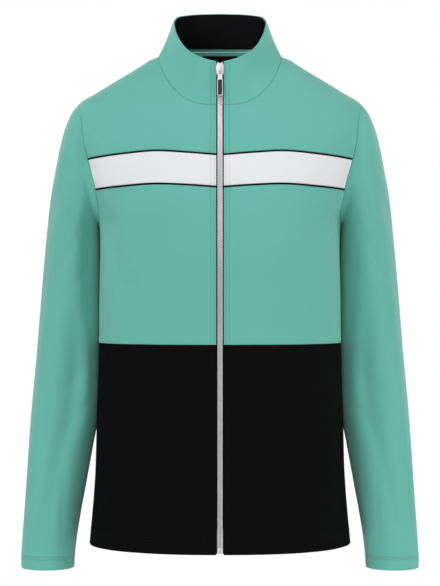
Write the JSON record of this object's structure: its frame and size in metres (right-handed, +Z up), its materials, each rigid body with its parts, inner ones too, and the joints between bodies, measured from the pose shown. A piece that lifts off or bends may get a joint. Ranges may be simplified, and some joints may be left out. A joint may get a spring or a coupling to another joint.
{
  "type": "sweat jacket",
  "caption": "Slim zip-front sweat jacket filled out as worn, with a stand collar, set-in long sleeves, a piped chest band and colour-block lower panels, open at neck, hem and cuffs.",
  "frame": {"origin": "midway between the two high shoulder points, at their level, where the wearer's shoulders hold the jacket up", "axes": "+X to the wearer's left, -Y out of the zip front, +Z up"},
  "size_m": [0.5332, 0.239, 0.7543],
  "materials": {
    "green_knit": "matt double-knit",
    "white_knit": "matt double-knit",
    "black_knit": "matt double-knit",
    "piping": "folded jersey cord",
    "collar_facing": "matt jersey",
    "label": "woven satin",
    "zip_tape": "woven tape",
    "zip_metal": "satin nickel plate",
    "pull_insert": "matt"
  },
  "bodies": {
    "garment": {"front_upper_left": "green_knit", "front_upper_right": "green_knit", "front_mid_left": "green_knit", "front_mid_right": "green_knit", "back_upper": "green_knit", "sleeve_left": "green_knit", "sleeve_right": "green_knit", "collar": "green_knit", "chest_band_left": "white_knit", "chest_band_right": "white_knit", "front_lower_left": "black_knit", "front_lower_right": "black_knit", "back_lower": "black_knit", "piping_upper_left": "piping", "piping_upper_right": "piping", "piping_lower_left": "piping", "piping_lower_right": "piping", "collar_facing": "collar_facing", "neck_label": "label", "zip_tape_left": "zip_tape", "zip_tape_right": "zip_tape", "zip_chain": "zip_metal", "zip_bottom_box": "zip_metal", "zip_top_stop_left": "zip_metal", "zip_top_stop_right": "zip_metal", "zip_slider": "zip_metal"},
    "pull": {"zip_pull": "zip_metal", "zip_pull_insert": "pull_insert"}
  },
  "joints": [
    {"name": "pull_hinge", "type": "hinge", "parent": "garment", "child": "pull", "pos_m": [0, -0.07984, -0.02887], "axis": [-1, 0, 0], "range_deg": [0, 150]}
  ]
}
